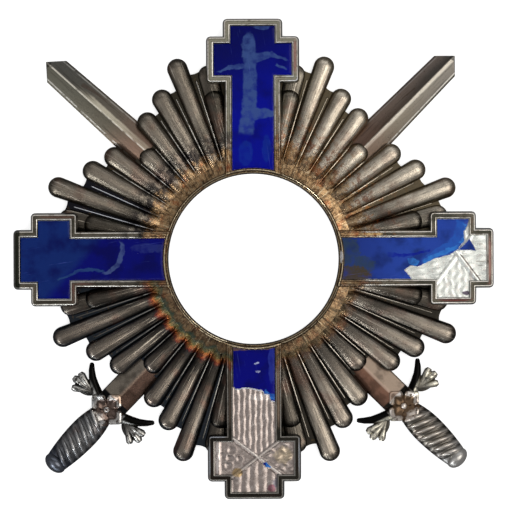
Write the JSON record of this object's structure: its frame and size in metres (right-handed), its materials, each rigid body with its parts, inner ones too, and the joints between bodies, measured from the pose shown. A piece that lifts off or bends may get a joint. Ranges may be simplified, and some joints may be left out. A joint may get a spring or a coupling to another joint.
{
  "type": "order insignia cross with swords",
  "caption": "Order cross with stepped arm ends in blue enamel on a star of rounded rays, with crossed swords beneath it and an open round seat in the middle for a medallion.",
  "frame": {"origin": "on the axis of the round seat in the middle, in the plane of the flat back that the insignia lies on", "axes": "+Z out of the front face, +Y towards the upper arm, +X towards the right arm as seen from the front"},
  "size_m": [0.0602, 0.0602, 0.003],
  "materials": {
    "toned_silver": "silver with a warm grey-brown tone, darker in the grooves and worn bright on the edges",
    "dark_silver": "cast silver, toned nearly black in the recesses and worn bright on the raised parts",
    "blue_enamel": "deep cobalt blue vitreous enamel, glossy, with fine scratches",
    "pin_metal": "plain drawn wire, grey"
  },
  "bodies": {
    "root": {"ray_star": "toned_silver", "cross_frame": "toned_silver", "enamel_top": "blue_enamel", "enamel_left": "blue_enamel", "enamel_right": "blue_enamel", "enamel_bottom": "blue_enamel", "enamel_right_flake": "blue_enamel", "enamel_bottom_flake": "blue_enamel", "sword_blade_left": "toned_silver", "sword_blade_right": "toned_silver", "sword_hilt_left": "dark_silver", "sword_hilt_right": "dark_silver", "back_pin": "pin_metal"}
  },
  "joints": []
}
